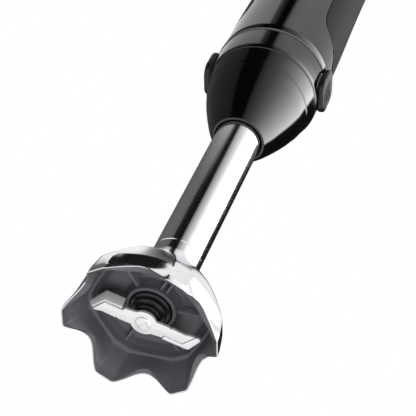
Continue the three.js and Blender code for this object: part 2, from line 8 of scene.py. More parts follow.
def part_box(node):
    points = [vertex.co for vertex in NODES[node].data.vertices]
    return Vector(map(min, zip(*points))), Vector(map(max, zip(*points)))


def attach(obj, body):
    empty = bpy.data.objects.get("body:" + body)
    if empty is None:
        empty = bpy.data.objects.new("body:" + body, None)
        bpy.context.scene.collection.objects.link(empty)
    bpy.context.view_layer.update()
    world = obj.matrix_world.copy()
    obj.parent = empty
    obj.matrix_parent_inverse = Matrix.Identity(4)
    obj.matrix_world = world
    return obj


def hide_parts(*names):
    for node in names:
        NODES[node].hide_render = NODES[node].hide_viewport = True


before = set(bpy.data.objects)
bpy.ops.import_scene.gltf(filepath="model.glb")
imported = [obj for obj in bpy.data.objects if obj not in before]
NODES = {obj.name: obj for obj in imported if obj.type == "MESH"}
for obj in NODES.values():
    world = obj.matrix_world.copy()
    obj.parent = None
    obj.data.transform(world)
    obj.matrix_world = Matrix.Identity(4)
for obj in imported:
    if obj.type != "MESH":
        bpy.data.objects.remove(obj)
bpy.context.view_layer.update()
MM = 0.001


def low(node):
    """Lowest corner of a CAD node, in millimetres."""
    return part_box(node)[0] / MM


def high(node):
    """Highest corner of a CAD node, in millimetres."""
    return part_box(node)[1] / MM


# ---- driving dimensions ------------------------------------------------------------------------
FEET = 6
FOOT_RADIUS = high("bell_shell").x
FOOT_HALF_WIDTH = 4
ARCH_HALF_WIDTH = 12.9
ARCH_HEIGHT = 6.9
TUBE_WALL = 0.9
BELL_SKIN = 0.6
LINER_GAP = 0.06
TUBE_RADIUS = high("shaft_tube").x
TUBE_TOP = high("shaft_tube").z
COUPLING_MOUTH = low("coupling_shell").z
COUPLING_TOP = high("coupling_shell").z
SEAM_RADIUS = high("coupling_shell").y
SEAM = low("handle_shell").z
HANDLE_TOP = high("handle_shell").z
BLADE_BOTTOM = low("blade").z
BLADE_ANGLE = math.radians(9)
RELEASE_CENTRE = (low("release_button_right").z + high("release_button_right").z) / 2
POWER_CENTRE = (low("power_button").z + high("power_button").z) / 2
TURBO_CENTRE = (low("turbo_button").z + high("turbo_button").z) / 2
FRONT = -math.pi / 2


# ---- camera, floor, world and lamps ------------------------------------------------------------
def make_camera():
    """Looks up into the bell from below the front, rolled so that the shaft runs up to the right."""
    camera = bpy.data.objects.new("camera", bpy.data.cameras.new("camera"))
    bpy.context.scene.collection.objects.link(camera)
    camera.data.lens = 136.27
    camera.location = Vector((174.5, -424.6, -449.0)) * MM
    aim = Vector((1.87, 0.76, 89.28)) * MM
    roll = math.radians(27.19)
    facing = (aim - camera.location).to_track_quat("-Z", "Y").to_matrix()
    camera.rotation_mode = "QUATERNION"
    camera.rotation_quaternion = (facing @ Matrix.Rotation(roll, 3, "Z")).to_quaternion()
    camera.data.clip_start = 0.01
    camera.data.clip_end = 20
    bpy.context.scene.camera = camera


def new_nodes(tree):
    tree.nodes.clear()
    return tree.nodes, tree.links


def make_floor():
    """Pale floor. It is one-sided, so that a camera below the rim still sees the object."""
    bpy.ops.mesh.primitive_plane_add(size=6, location=(0, 0, 0))
    floor = bpy.context.object
    floor.name = "floor"
    material = bpy.data.materials.new("pale_floor")
    material.use_nodes = True
    nodes, links = new_nodes(material.node_tree)
    out = nodes.new("ShaderNodeOutputMaterial")
    mix = nodes.new("ShaderNodeMixShader")
    pale = nodes.new("ShaderNodeBsdfDiffuse")
    pale.inputs["Color"].default_value = (0.86, 0.86, 0.86, 1)
    clear = nodes.new("ShaderNodeBsdfTransparent")
    side = nodes.new("ShaderNodeNewGeometry")
    links.new(side.outputs["Backfacing"], mix.inputs[0])
    links.new(pale.outputs[0], mix.inputs[1])
    links.new(clear.outputs[0], mix.inputs[2])
    links.new(mix.outputs[0], out.inputs["Surface"])
    floor.data.materials.append(material)
    floor.visible_diffuse = False
    floor.visible_glossy = False
    floor.visible_transmission = False
    floor.visible_shadow = False


# Studio as the glossy surfaces see it: brightness against azimuth, in degrees round from +X.
# A tall soft box stands at the right front, a black flag beside it and a dim wall at the left.
STUDIO = [
    (-180, 0.13), (-150, 0.13), (-132, 0.1), (-126, 0.004), (-92, 0.004), (-86, 0.25), (-62, 0.7), (-42, 1.4),
    (-22, 2.5), (-2, 3.9), (18, 5.0), (31, 5.4), (37, 0.03), (60, 0.012), (104, 0.012), (122, 0.08),
    (150, 0.12), (180, 0.13),
]
# What hangs overhead, against how far it lies to the right: white, then a black flag, then white again.
OVERHEAD = [
    (-1, 0.5), (-0.5, 1), (-0.32, 1), (-0.28, 0.3), (-0.22, 0.12), (-0.16, 0.004), (-0.06, 0.008),
    (0.02, 0.8), (0.2, 1.0), (0.42, 0.9), (1, 0.7),
]


def make_world():
    world = bpy.data.worlds.new("studio")
    bpy.context.scene.world = world
    world.use_nodes = True
    nodes, links = new_nodes(world.node_tree)

    def node(kind, **values):
        made = nodes.new(kind)
        for key, value in values.items():
            setattr(made, key, value)
        return made

    def math_node(operation, first, second=None):
        made = node("ShaderNodeMath", operation=operation)
        for slot, value in enumerate((first, second)):
            if value is None:
                continue
            if isinstance(value, (int, float)):
                made.inputs[slot].default_value = value
            else:
                links.new(value, made.inputs[slot])
        return made.outputs[0]

    direction = node("ShaderNodeTexCoord").outputs["Generated"]
    split = node("ShaderNodeSeparateXYZ")
    links.new(direction, split.inputs[0])
    azimuth = math_node("ARCTAN2", split.outputs["Y"], split.outputs["X"])
    share = math_node("ADD", math_node("DIVIDE", azimuth, 2 * math.pi), 0.5)

    def brightness(table, share, start, end):
        ramp = node("ShaderNodeValToRGB")
        links.new(share, ramp.inputs[0])
        strongest = max(value for _, value in table)
        stops = ramp.color_ramp.elements
        while len(stops) < len(table):
            stops.new(0.5)
        for stop, (place, value) in zip(stops, table):
            stop.position = (place - start) / (end - start)
            stop.color = (value / strongest,) * 3 + (1,)
        return math_node("MULTIPLY", ramp.outputs[0], strongest)

    walls = brightness(STUDIO, share, -180, 180)
    aside = math_node("ADD", math_node("MULTIPLY", split.outputs["X"], 0.5), 0.5)
    overhead = brightness(OVERHEAD, aside, -1, 1)
    # the ceiling takes over from the walls
    above = node("ShaderNodeMapRange", interpolation_type="SMOOTHSTEP")
    links.new(split.outputs["Z"], above.inputs[0])
    above.inputs[1].default_value = 0.785
    above.inputs[2].default_value = 0.82
    ceiling = node("ShaderNodeMix", data_type="FLOAT")
    links.new(above.outputs[0], ceiling.inputs[0])
    links.new(walls, ceiling.inputs[2])
    links.new(overhead, ceiling.inputs[3])
    # a white sweep lies under the object
    under = node("ShaderNodeMapRange", interpolation_type="SMOOTHSTEP")
    links.new(split.outputs["Z"], under.inputs[0])
    under.inputs[1].default_value = -0.35
    under.inputs[2].default_value = -0.6
    sweep = node("ShaderNodeMix", data_type="FLOAT")
    links.new(under.outputs[0], sweep.inputs[0])
    links.new(ceiling.outputs[0], sweep.inputs[2])
    sweep.inputs[3].default_value = 0.95
    path = node("ShaderNodeLightPath")
    seen = node("ShaderNodeMix", data_type="FLOAT")
    links.new(path.outputs["Is Glossy Ray"], seen.inputs[0])
    seen.inputs[2].default_value = 0.75
    links.new(sweep.outputs[0], seen.inputs[3])
    shown = node("ShaderNodeMix", data_type="FLOAT")
    links.new(path.outputs["Is Camera Ray"], shown.inputs[0])
    links.new(seen.outputs[0], shown.inputs[2])
    shown.inputs[3].default_value = 1.0
    background = node("ShaderNodeBackground")
    background.inputs["Color"].default_value = (1, 1, 1, 1)
    links.new(shown.outputs[0], background.inputs["Strength"])
    out = node("ShaderNodeOutputWorld")
    links.new(background.outputs[0], out.inputs["Surface"])


def make_lamp(name, place, size, power, aim=(0, 0, 0.1)):
    lamp = bpy.data.objects.new(name, bpy.data.lights.new(name, "AREA"))
    lamp.data.shape = "DISK"
    lamp.data.size = size
    lamp.data.energy = power
    lamp.location = place
    lamp.rotation_mode = "QUATERNION"
    lamp.rotation_quaternion = (Vector(aim) - Vector(place)).to_track_quat("-Z", "Y")
    lamp.visible_glossy = False
    lamp.visible_camera = False
    bpy.context.scene.collection.objects.link(lamp)


def make_studio():
    make_camera()
    make_floor()
    make_world()
    make_lamp("key", (1.2, -1.0, 1.4), 1.0, 22)
    make_lamp("fill", (-1.3, -0.9, 0.6), 1.2, 6)
    make_lamp("under", (0.5, -0.4, -1.2), 0.8, 10, aim=(0, 0, 0))
    bpy.context.scene.view_settings.view_transform = "Standard"


make_studio()


# ---- shared effects ----------------------------------------------------------------------------
def effect(name, inputs):
    """A shader node group with float inputs, and its nodes, links and ends."""
    tree = bpy.data.node_groups.new(name, "ShaderNodeTree")
    for label, value in inputs:
        socket = tree.interface.new_socket(label, in_out="INPUT", socket_type="NodeSocketFloat")
        socket.default_value = value
    tree.interface.new_socket("Value", in_out="OUTPUT", socket_type="NodeSocketFloat")
    entry = tree.nodes.new("NodeGroupInput")
    leave = tree.nodes.new("NodeGroupOutput")
    return tree, entry, leave


def object_point(tree, stretch=(1, 1, 1)):
    place = tree.nodes.new("ShaderNodeTexCoord")
    mapping = tree.nodes.new("ShaderNodeMapping")
    mapping.inputs["Scale"].default_value = stretch
    tree.links.new(place.outputs["Object"], mapping.inputs["Vector"])
    return mapping.outputs["Vector"]


def grain_effect():
    """Fine mould texture: one noise with layers of finer detail."""
    tree, entry, leave = effect("fine_grain", [("Scale", 900.0), ("Detail", 4.0)])
    noise = tree.nodes.new("ShaderNodeTexNoise")
    tree.links.new(object_point(tree), noise.inputs["Vector"])
    tree.links.new(entry.outputs["Scale"], noise.inputs["Scale"])
    tree.links.new(entry.outputs["Detail"], noise.inputs["Detail"])
    tree.links.new(noise.outputs["Fac"], leave.inputs["Value"])
    return tree


def smudge_effect():
    """Broad wiped patches with faint streaks, for polish and gloss."""
    tree, entry, leave = effect("wiped_smudges", [("Scale", 40.0), ("Sharpness", 1.0)])
    broad = tree.nodes.new("ShaderNodeTexNoise")
    broad.inputs["Detail"].default_value = 3
    broad.inputs["Distortion"].default_value = 0.6
    tree.links.new(object_point(tree, (1, 1, 0.45)), broad.inputs["Vector"])
    tree.links.new(entry.outputs["Scale"], broad.inputs["Scale"])
    curve = tree.nodes.new("ShaderNodeMapRange")
    curve.inputs[1].default_value = 0.35
    curve.inputs[2].default_value = 0.7
    tree.links.new(broad.outputs["Fac"], curve.inputs[0])
    power = tree.nodes.new("ShaderNodeMath")
    power.operation = "POWER"
    tree.links.new(curve.outputs[0], power.inputs[0])
    tree.links.new(entry.outputs["Sharpness"], power.inputs[1])
    tree.links.new(power.outputs[0], leave.inputs["Value"])
    return tree


def lines_effect():
    """Grinding lines that run along X of the piece's own axes."""
    tree, entry, leave = effect("grinding_lines", [("Scale", 300.0), ("Along", 0.03)])
    place = tree.nodes.new("ShaderNodeTexCoord")
    stretch = tree.nodes.new("ShaderNodeCombineXYZ")
    stretch.inputs["Y"].default_value = 1
    stretch.inputs["Z"].default_value = 1
    tree.links.new(entry.outputs["Along"], stretch.inputs["X"])
    turn = tree.nodes.new("ShaderNodeMapping")
    turn.inputs["Rotation"].default_value = (0, 0, -BLADE_ANGLE)
    tree.links.new(place.outputs["Object"], turn.inputs["Vector"])
    scaled = tree.nodes.new("ShaderNodeVectorMath")
    scaled.operation = "MULTIPLY"
    tree.links.new(turn.outputs["Vector"], scaled.inputs[0])
    tree.links.new(stretch.outputs[0], scaled.inputs[1])
    noise = tree.nodes.new("ShaderNodeTexNoise")
    noise.inputs["Detail"].default_value = 5
    noise.inputs["Roughness"].default_value = 0.65
    tree.links.new(scaled.outputs[0], noise.inputs["Vector"])
    tree.links.new(entry.outputs["Scale"], noise.inputs["Scale"])
    tree.links.new(noise.outputs["Fac"], leave.inputs["Value"])
    return tree


def rings_effect():
    """Turning marks round the Z axis: noise read along the height and the radius."""
    tree, entry, leave = effect("turning_marks", [("Scale", 2600.0), ("Detail", 2.0)])
    place = tree.nodes.new("ShaderNodeTexCoord")
    split = tree.nodes.new("ShaderNodeSeparateXYZ")
    tree.links.new(place.outputs["Object"], split.inputs[0])
    flat = tree.nodes.new("ShaderNodeCombineXYZ")
    tree.links.new(split.outputs["X"], flat.inputs["X"])
    tree.links.new(split.outputs["Y"], flat.inputs["Y"])
    radius = tree.nodes.new("ShaderNodeVectorMath")
    radius.operation = "LENGTH"
    tree.links.new(flat.outputs[0], radius.inputs[0])
    both = tree.nodes.new("ShaderNodeCombineXYZ")
    tree.links.new(radius.outputs["Value"], both.inputs["X"])
    tree.links.new(split.outputs["Z"], both.inputs["Z"])
    noise = tree.nodes.new("ShaderNodeTexNoise")
    tree.links.new(both.outputs[0], noise.inputs["Vector"])
    tree.links.new(entry.outputs["Scale"], noise.inputs["Scale"])
    tree.links.new(entry.outputs["Detail"], noise.inputs["Detail"])
    tree.links.new(noise.outputs["Fac"], leave.inputs["Value"])
    return tree


def wear_effect():
    """1 on worn outer edges, 0 elsewhere, broken up by noise."""
    tree, entry, leave = effect("edge_wear", [("From", 0.56), ("To", 0.66)])
    shape = tree.nodes.new("ShaderNodeNewGeometry")
    edge = tree.nodes.new("ShaderNodeMapRange")
    tree.links.new(shape.outputs["Pointiness"], edge.inputs[0])
    tree.links.new(entry.outputs["From"], edge.inputs[1])
    tree.links.new(entry.outputs["To"], edge.inputs[2])
    noise = tree.nodes.new("ShaderNodeTexNoise")
    noise.inputs["Scale"].default_value = 350
    noise.inputs["Detail"].default_value = 4
    tree.links.new(object_point(tree), noise.inputs["Vector"])
    both = tree.nodes.new("ShaderNodeMath")
    both.operation = "MULTIPLY"
    tree.links.new(edge.outputs[0], both.inputs[0])
    tree.links.new(noise.outputs["Fac"], both.inputs[1])
    tree.links.new(both.outputs[0], leave.inputs["Value"])
    return tree


GRAIN = grain_effect()
SMUDGE = smudge_effect()
LINES = lines_effect()
RINGS = rings_effect()
WEAR = wear_effect()


# ---- finishes ----------------------------------------------------------------------------------
class Finish:
    """One material under construction, with short calls for the steps that every finish takes."""

    def __init__(self, name, **constants):
        self.material = bpy.data.materials.new(name)
        self.material.use_nodes = True
        self.nodes, self.links = new_nodes(self.material.node_tree)
        self.shader = self.nodes.new("ShaderNodeBsdfPrincipled")
        out = self.nodes.new("ShaderNodeOutputMaterial")
        self.links.new(self.shader.outputs[0], out.inputs["Surface"])
        for label, value in constants.items():
            self.shader.inputs[label.replace("_", " ")].default_value = value

    def use(self, group, **values):
        placed = self.nodes.new("ShaderNodeGroup")
        placed.node_tree = group
        for label, value in values.items():
            placed.inputs[label].default_value = value
        return placed.outputs["Value"]

    def between(self, factor, first, second):
        """A value that runs from first to second with the factor."""
        spread = self.nodes.new("ShaderNodeMapRange")
        self.links.new(factor, spread.inputs[0])
        spread.inputs[3].default_value = first
        spread.inputs[4].default_value = second
        return spread.outputs[0]

    def tint(self, factor, first, second):
        ramp = self.nodes.new("ShaderNodeValToRGB")
        ramp.color_ramp.elements[0].color = (*first, 1)
        ramp.color_ramp.elements[1].color = (*second, 1)
        self.links.new(factor, ramp.inputs[0])
        return ramp.outputs[0]

    def bump(self, height, strength, distance):
        raised = self.nodes.new("ShaderNodeBump")
        raised.inputs["Strength"].default_value = strength
        raised.inputs["Distance"].default_value = distance
        self.links.new(height, raised.inputs["Height"])
        self.links.new(raised.outputs[0], self.shader.inputs["Normal"])

    def to(self, label, output):
        self.links.new(output, self.shader.inputs[label])


def polished_steel():
    finish = Finish("polished_steel", Metallic=1.0)
    smudge = finish.use(SMUDGE, Scale=34.0)
    finish.to("Base Color", finish.tint(smudge, (0.86, 0.87, 0.885), (0.8, 0.81, 0.83)))
    finish.to("Roughness", finish.between(smudge, 0.1, 0.16))
    return finish.material


def ground_steel():
    finish = Finish("ground_steel", Metallic=0.6)
    lines = finish.use(LINES, Scale=900.0, Along=0.04)
    finish.to("Base Color", finish.tint(lines, (0.93, 0.93, 0.94), (0.78, 0.78, 0.8)))
    finish.to("Roughness", finish.between(lines, 0.3, 0.46))
    finish.bump(lines, 0.25, 0.0001)
    return finish.material


def machined_steel():
    finish = Finish("machined_steel", Metallic=1.0)
    rings = finish.use(RINGS, Scale=1800.0)
    finish.to("Base Color", finish.tint(rings, (0.62, 0.63, 0.64), (0.48, 0.49, 0.5)))
    finish.to("Roughness", finish.between(rings, 0.24, 0.42))
    finish.bump(rings, 0.2, 0.0001)
    return finish.material


def liner_plastic():
    finish = Finish("liner_plastic", IOR=1.5)
    grain = finish.use(GRAIN, Scale=1500.0)
    wear = finish.use(WEAR)
    finish.to("Base Color", finish.tint(wear, (0.078, 0.078, 0.088), (0.2, 0.2, 0.215)))
    finish.to("Roughness", finish.between(grain, 0.34, 0.5))
    finish.bump(grain, 0.18, 0.00008)
    return finish.material


def gloss_black():
    finish = Finish("gloss_black", IOR=1.7, Coat_Weight=0.0)
    smudge = finish.use(SMUDGE, Scale=26.0, Sharpness=1.4)
    finish.to("Base Color", finish.tint(smudge, (0.0008, 0.0008, 0.0014), (0.0016, 0.0016, 0.0024)))
    finish.to("Roughness", finish.between(smudge, 0.045, 0.11))
    finish.bump(finish.use(GRAIN, Scale=260.0, Detail=1.0), 0.03, 0.00005)
    return finish.material


def soft_touch():
    finish = Finish("soft_touch", IOR=1.3, Specular_IOR_Level=0.3)
    grain = finish.use(GRAIN, Scale=2200.0)
    wear = finish.use(WEAR)
    finish.to("Base Color", finish.tint(wear, (0.008, 0.008, 0.01), (0.016, 0.016, 0.019)))
    finish.to("Roughness", finish.between(grain, 0.5, 0.68))
    finish.bump(grain, 0.3, 0.0001)
    return finish.material


def black_rubber():
    finish = Finish("black_rubber", IOR=1.5)
    rings = finish.use(RINGS, Scale=700.0)
    finish.to("Base Color", finish.tint(rings, (0.004, 0.004, 0.005), (0.008, 0.008, 0.009)))
    finish.to("Roughness", finish.between(rings, 0.26, 0.38))
    finish.bump(rings, 0.1, 0.0001)
    return finish.material


def pale_nylon():
    finish = Finish("pale_nylon", IOR=1.53)
    grain = finish.use(GRAIN, Scale=700.0)
    finish.to("Base Color", finish.tint(grain, (0.78, 0.76, 0.7), (0.7, 0.68, 0.62)))
    finish.to("Roughness", finish.between(grain, 0.38, 0.52))
    finish.bump(grain, 0.15, 0.0001)
    return finish.material


def sintered_bronze():
    finish = Finish("sintered_bronze", Metallic=1.0)
    grain = finish.use(GRAIN, Scale=3200.0)
    finish.to("Base Color", finish.tint(grain, (0.55, 0.36, 0.16), (0.72, 0.5, 0.26)))
    finish.to("Roughness", finish.between(grain, 0.34, 0.55))
    finish.bump(grain, 0.3, 0.0001)
    return finish.material


def stacked_steel():
    """Laminations: thin dark joints every half millimetre of height."""
    finish = Finish("stacked_steel", Metallic=1.0)
    wave = finish.nodes.new("ShaderNodeTexWave")
    wave.bands_direction = "Z"
    wave.inputs["Scale"].default_value = 320
    finish.links.new(object_point(finish.material.node_tree), wave.inputs["Vector"])
    finish.to("Base Color", finish.tint(wave.outputs["Fac"], (0.12, 0.12, 0.13), (0.45, 0.46, 0.48)))
    finish.to("Roughness", finish.between(wave.outputs["Fac"], 0.6, 0.35))
    finish.bump(wave.outputs["Fac"], 0.3, 0.0001)
    return finish.material


def enamelled_copper():
    """Wound wire: strands round the coil."""
    finish = Finish("enamelled_copper", Metallic=0.9)
    wave = finish.nodes.new("ShaderNodeTexWave")
    wave.bands_direction = "X"
    wave.inputs["Scale"].default_value = 420
    finish.links.new(object_point(finish.material.node_tree), wave.inputs["Vector"])
    finish.to("Base Color", finish.tint(wave.outputs["Fac"], (0.22, 0.08, 0.03), (0.74, 0.36, 0.14)))
    finish.to("Roughness", finish.between(wave.outputs["Fac"], 0.5, 0.28))
    finish.bump(wave.outputs["Fac"], 0.5, 0.0002)
    return finish.material


def pressed_carbon():
    finish = Finish("pressed_carbon", IOR=1.6)
    grain = finish.use(GRAIN, Scale=2600.0)
    finish.to("Base Color", finish.tint(grain, (0.012, 0.012, 0.012), (0.05, 0.05, 0.052)))
    finish.to("Roughness", finish.between(grain, 0.4, 0.6))
    finish.bump(grain, 0.2, 0.0001)
    return finish.material


def board_lacquer():
    finish = Finish("board_lacquer", IOR=1.5)
    cells = finish.nodes.new("ShaderNodeTexBrick")
    cells.inputs["Color1"].default_value = (0.012, 0.09, 0.035, 1)
    cells.inputs["Color2"].default_value = (0.016, 0.12, 0.045, 1)
    cells.inputs["Mortar"].default_value = (0.04, 0.24, 0.1, 1)
    cells.inputs["Scale"].default_value = 180
    cells.inputs["Mortar Size"].default_value = 0.03
    finish.links.new(object_point(finish.material.node_tree), cells.inputs["Vector"])
    finish.to("Base Color", cells.outputs["Color"])
    finish.to("Roughness", finish.between(cells.outputs["Fac"], 0.3, 0.45))
    return finish.material


FINISHES = {
    "polished_steel": polished_steel(),
    "ground_steel": ground_steel(),
    "machined_steel": machined_steel(),
    "liner_plastic": liner_plastic(),
    "gloss_black": gloss_black(),
    "soft_touch": soft_touch(),
    "black_rubber": black_rubber(),
    "pale_nylon": pale_nylon(),
    "sintered_bronze": sintered_bronze(),
    "stacked_steel": stacked_steel(),
    "enamelled_copper": enamelled_copper(),
    "pressed_carbon": pressed_carbon(),
    "board_lacquer": board_lacquer(),
}


# ---- modelling steps ---------------------------------------------------------------------------
def deselect():
    if bpy.context.mode != "OBJECT":
        bpy.ops.object.mode_set(mode="OBJECT")
    bpy.ops.object.select_all(action="DESELECT")


def choose(piece):
    deselect()
    piece.select_set(True)
    bpy.context.view_layer.objects.active = piece


def settle(piece):
    """Puts the piece's place into its mesh, so that its object sits at the origin."""
    choose(piece)
    bpy.ops.object.transform_apply(location=True, rotation=True, scale=True)


def tidy_surface(piece, merge=0.002):
    """Merges doubled points and turns every face outwards."""
    choose(piece)
    bpy.ops.object.mode_set(mode="EDIT")
    bpy.ops.mesh.select_all(action="SELECT")
    bpy.ops.mesh.remove_doubles(threshold=merge * MM)
    bpy.ops.mesh.normals_make_consistent(inside=False)
    bpy.ops.object.mode_set(mode="OBJECT")


def modifier(piece, kind, **values):
    choose(piece)
    made = piece.modifiers.new(kind.lower(), kind)
    for key, value in values.items():
        setattr(made, key, value)
    bpy.ops.object.modifier_apply(modifier=made.name)


def cut(piece, cutter):
    modifier(piece, "BOOLEAN", object=cutter, operation="DIFFERENCE", solver="EXACT")
    bpy.data.objects.remove(cutter)
    return piece


def soften(piece, width=0.25, segments=2, angle=35):
    modifier(piece, "BEVEL", width=width * MM, segments=segments, limit_method="ANGLE",
             angle_limit=math.radians(angle), use_clamp_overlap=True)


def smooth(piece, angle=32):
    choose(piece)
    bpy.ops.object.shade_smooth_by_angle(angle=math.radians(angle))


def finish_piece(piece, name, finish, body, nodes=(), angle=32):
    smooth(piece, angle)
    piece.name = name
    piece.data.name = name
    piece.data.materials.clear()
    piece.data.materials.append(FINISHES[finish])
    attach(piece, body)
    if nodes:
        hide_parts(*nodes)
    return piece


def flowing(points, steps=6):
    """A smooth line through the points: Catmull-Rom, with straight ends."""
    ends = [points[0]] + list(points) + [points[-1]]
    line = []
    for a, b, c, d in zip(ends, ends[1:], ends[2:], ends[3:]):
        for k in range(steps):
            t = k / steps
            line.append(tuple(
                0.5 * ((2 * q) + (r - p) * t + (2 * p - 5 * q + 4 * r - s) * t * t
                       + (3 * q - p - 3 * r + s) * t ** 3)
                for p, q, r, s in zip(a, b, c, d)))
    return line + [tuple(points[-1])]


def turned(profile, segments=96, closed=False):
    """A circle drawn up ring by ring through the profile's [radius, height] points."""
    deselect()
    radius, height = profile[0]
    bpy.ops.mesh.primitive_circle_add(vertices=segments, radius=radius * MM, location=(0, 0, height * MM))
    piece = bpy.context.object
    settle(piece)
    bpy.ops.object.mode_set(mode="EDIT")
    bpy.ops.mesh.select_all(action="SELECT")
    stretch = list(zip(profile, profile[1:] + ([profile[0]] if closed else [])))
    for (r0, z0), (r1, z1) in stretch:
        bpy.ops.mesh.extrude_edges_move(TRANSFORM_OT_translate={"value": (0, 0, (z1 - z0) * MM)})
        size = r1 / r0
        bpy.ops.transform.resize(value=(size, size, 1), center_override=(0, 0, z1 * MM))
    bpy.ops.object.mode_set(mode="OBJECT")
    tidy_surface(piece)
    return piece


def sheet_of(columns, rows, place, wrap=True):
    """A grid laid over a surface: place(u, v) gives the point for 0 <= u, v <= 1."""
    deselect()
    bpy.ops.mesh.primitive_grid_add(x_subdivisions=columns, y_subdivisions=rows, size=2)
    piece = bpy.context.object
    for vertex in piece.data.vertices:
        u = (vertex.co.x + 1) / 2
        v = (vertex.co.y + 1) / 2
        vertex.co = Vector(place(u, v)) * MM
    if wrap:
        tidy_surface(piece)
    return piece


def slab(outline, low_z, high_z, edge=0.15):
    """A plate cut to an outline of [x, y] points, with its edges rounded over."""
    curve = bpy.data.curves.new("outline", "CURVE")
    curve.dimensions = "2D"
    curve.fill_mode = "BOTH"
    line = curve.splines.new("POLY")
    line.points.add(len(outline) - 1)
    for point, (x, y) in zip(line.points, outline):
        point.co = (x * MM, y * MM, 0, 1)
    line.use_cyclic_u = True
    curve.extrude = (high_z - low_z) / 2 * MM - edge * MM
    curve.bevel_depth = edge * MM
    curve.bevel_resolution = 2
    curve.offset = -edge * MM
    piece = bpy.data.objects.new("slab", curve)
    bpy.context.scene.collection.objects.link(piece)
    piece.location = (0, 0, (high_z + low_z) / 2 * MM)
    choose(piece)
    bpy.ops.object.convert(target="MESH")
    piece = bpy.context.object
    settle(piece)
    tidy_surface(piece)
    return piece


def joined(pieces):
    choose(pieces[0])
    for piece in pieces[1:]:
        piece.select_set(True)
    bpy.ops.object.join()
    return bpy.context.object


def turn(piece, angle):
    piece.data.transform(Matrix.Rotation(angle, 4, "Z"))
    return piece


def aimed(piece, angle):
    """Stands a slab made in the X-Y plane upright, its face pointing out along the angle."""
    stand = Matrix.Rotation(angle + math.pi / 2, 4, "Z") @ Matrix.Rotation(math.pi / 2, 4, "X")
    piece.data.transform(stand)
    return piece


def rounded(width, height, radius, steps=7, centre=(0, 0)):
    corners = [(1, 1, 0), (-1, 1, 90), (-1, -1, 180), (1, -1, 270)]
    outline = []
    for sx, sy, start in corners:
        x = centre[0] + sx * (width / 2 - radius)
        y = centre[1] + sy * (height / 2 - radius)
        for k in range(steps + 1):
            a = math.radians(start + 90 * k / steps)
            outline.append((x + radius * math.cos(a), y + radius * math.sin(a)))
    return outline


# ---- the bell ----------------------------------------------------------------------------------
# profile through the middle of a foot, [radius, height], on up the neck into the tube
DOME = [
    (FOOT_RADIUS, 0), (33.6, 3), (33, 7), (32.2, 11), (31.2, 14.5), (27.6, 21), (23.6, 26.6), (18.2, 30.8),
    (14.1, 33.2), (12.2, 36), (11.4, 39.5), (TUBE_RADIUS, 44),
]
DOME_LINE = flowing(DOME, 10)
NECK = DOME[-1][1]
ROUND_FROM, ROUND_AT = 17, 27
# how far the panels leave the flat: -1 is as hollow as a circle would be full, 0 flat, 1 the circle
FULLNESS = flowing([
    (-0.2, 0), (-0.4, 3), (-0.5, 6.5), (-0.2, 10), (0.25, 14), (0.7, 20), (1, 28), (1, 60),
], 6)


def at_height(line, z):
    """Radius of a [radius, height] line at a height."""
    for (r0, z0), (r1, z1) in zip(line, line[1:]):
        if z <= z1:
            return r0 + (r1 - r0) * (z - z0) / (z1 - z0)
    return line[-1][0]


def faceted(angle, radius, fullness, roundness, corner):
    """Point on the twelve-sided section: 8 mm bands over the feet, panels between, corners eased."""
    sector = 2 * math.pi / FEET
    foot = round(angle / sector)
    turned_by = angle - foot * sector
    reach = radius * math.cos(sector / 2) + FOOT_HALF_WIDTH * math.sin(sector / 2)
    to_band = radius / math.cos(turned_by)
    to_panel = reach / math.cos(sector / 2 - abs(turned_by))
    to_panel += (math.hypot(radius, FOOT_HALF_WIDTH) - to_panel) * fullness
    crease = math.atan2(FOOT_HALF_WIDTH, radius)
    near = to_band if abs(turned_by) < crease else to_panel
    flat = near - corner * 0.5 * math.exp(-abs(abs(turned_by) - crease) * radius / (4 * corner))
    flat += (radius * 1.004 - flat) * roundness
    return flat * math.cos(angle), flat * math.sin(angle)


def eased(value, start, end):
    t = min(max((value - start) / (end - start), 0), 1)
    return t * t * (3 - 2 * t)


def column_angles():
    """Angles round the bell, crowded where a band meets a panel."""
    sector = 2 * math.pi / FEET
    crease = math.atan2(FOOT_HALF_WIDTH, 24)
    band = [0, 0.3, 0.55, 0.75, 0.88, 0.95, 1]
    panel = [0.03, 0.07, 0.13, 0.2, 0.3, 0.42, 0.55, 0.7, 0.85, 1]
    half = [crease * b for b in band] + [crease + (sector / 2 - crease) * p for p in panel]
    angles = []
    for foot in range(FEET):
        angles += [foot * sector + a for a in half]
        angles += [(foot + 1) * sector - a for a in reversed(half[1:-1])]
    return angles + [2 * math.pi]


ANGLES = column_angles()


def arch(angle, half_width=ARCH_HALF_WIDTH, height=ARCH_HEIGHT):
    """Height of the scalloped rim at an angle."""
    sector = 2 * math.pi / FEET
    away = (angle / sector - math.floor(angle / sector) - 0.5) * sector
    across = math.tan(away) * 31
    if abs(across) >= half_width:
        return 0
    return height * math.cos(across / half_width * math.pi / 2) ** 1.3


def bell_skin():
    """Steel skin from the scalloped rim up to the tube."""
    rows = 74

    def place(u, v):
        angle = ANGLES[round(u * (len(ANGLES) - 1))]
        rim = arch(angle)
        climb = 1 - (1 - v) ** 0.9
        z = rim + (NECK + 6 - rim) * climb
        roundness = eased(z, ROUND_FROM, ROUND_AT)
        x, y = faceted(angle, at_height(DOME_LINE, z), at_height(FULLNESS, z), roundness, 0.1)
        return x, y, z

    return sheet_of(len(ANGLES) - 1, rows, place)


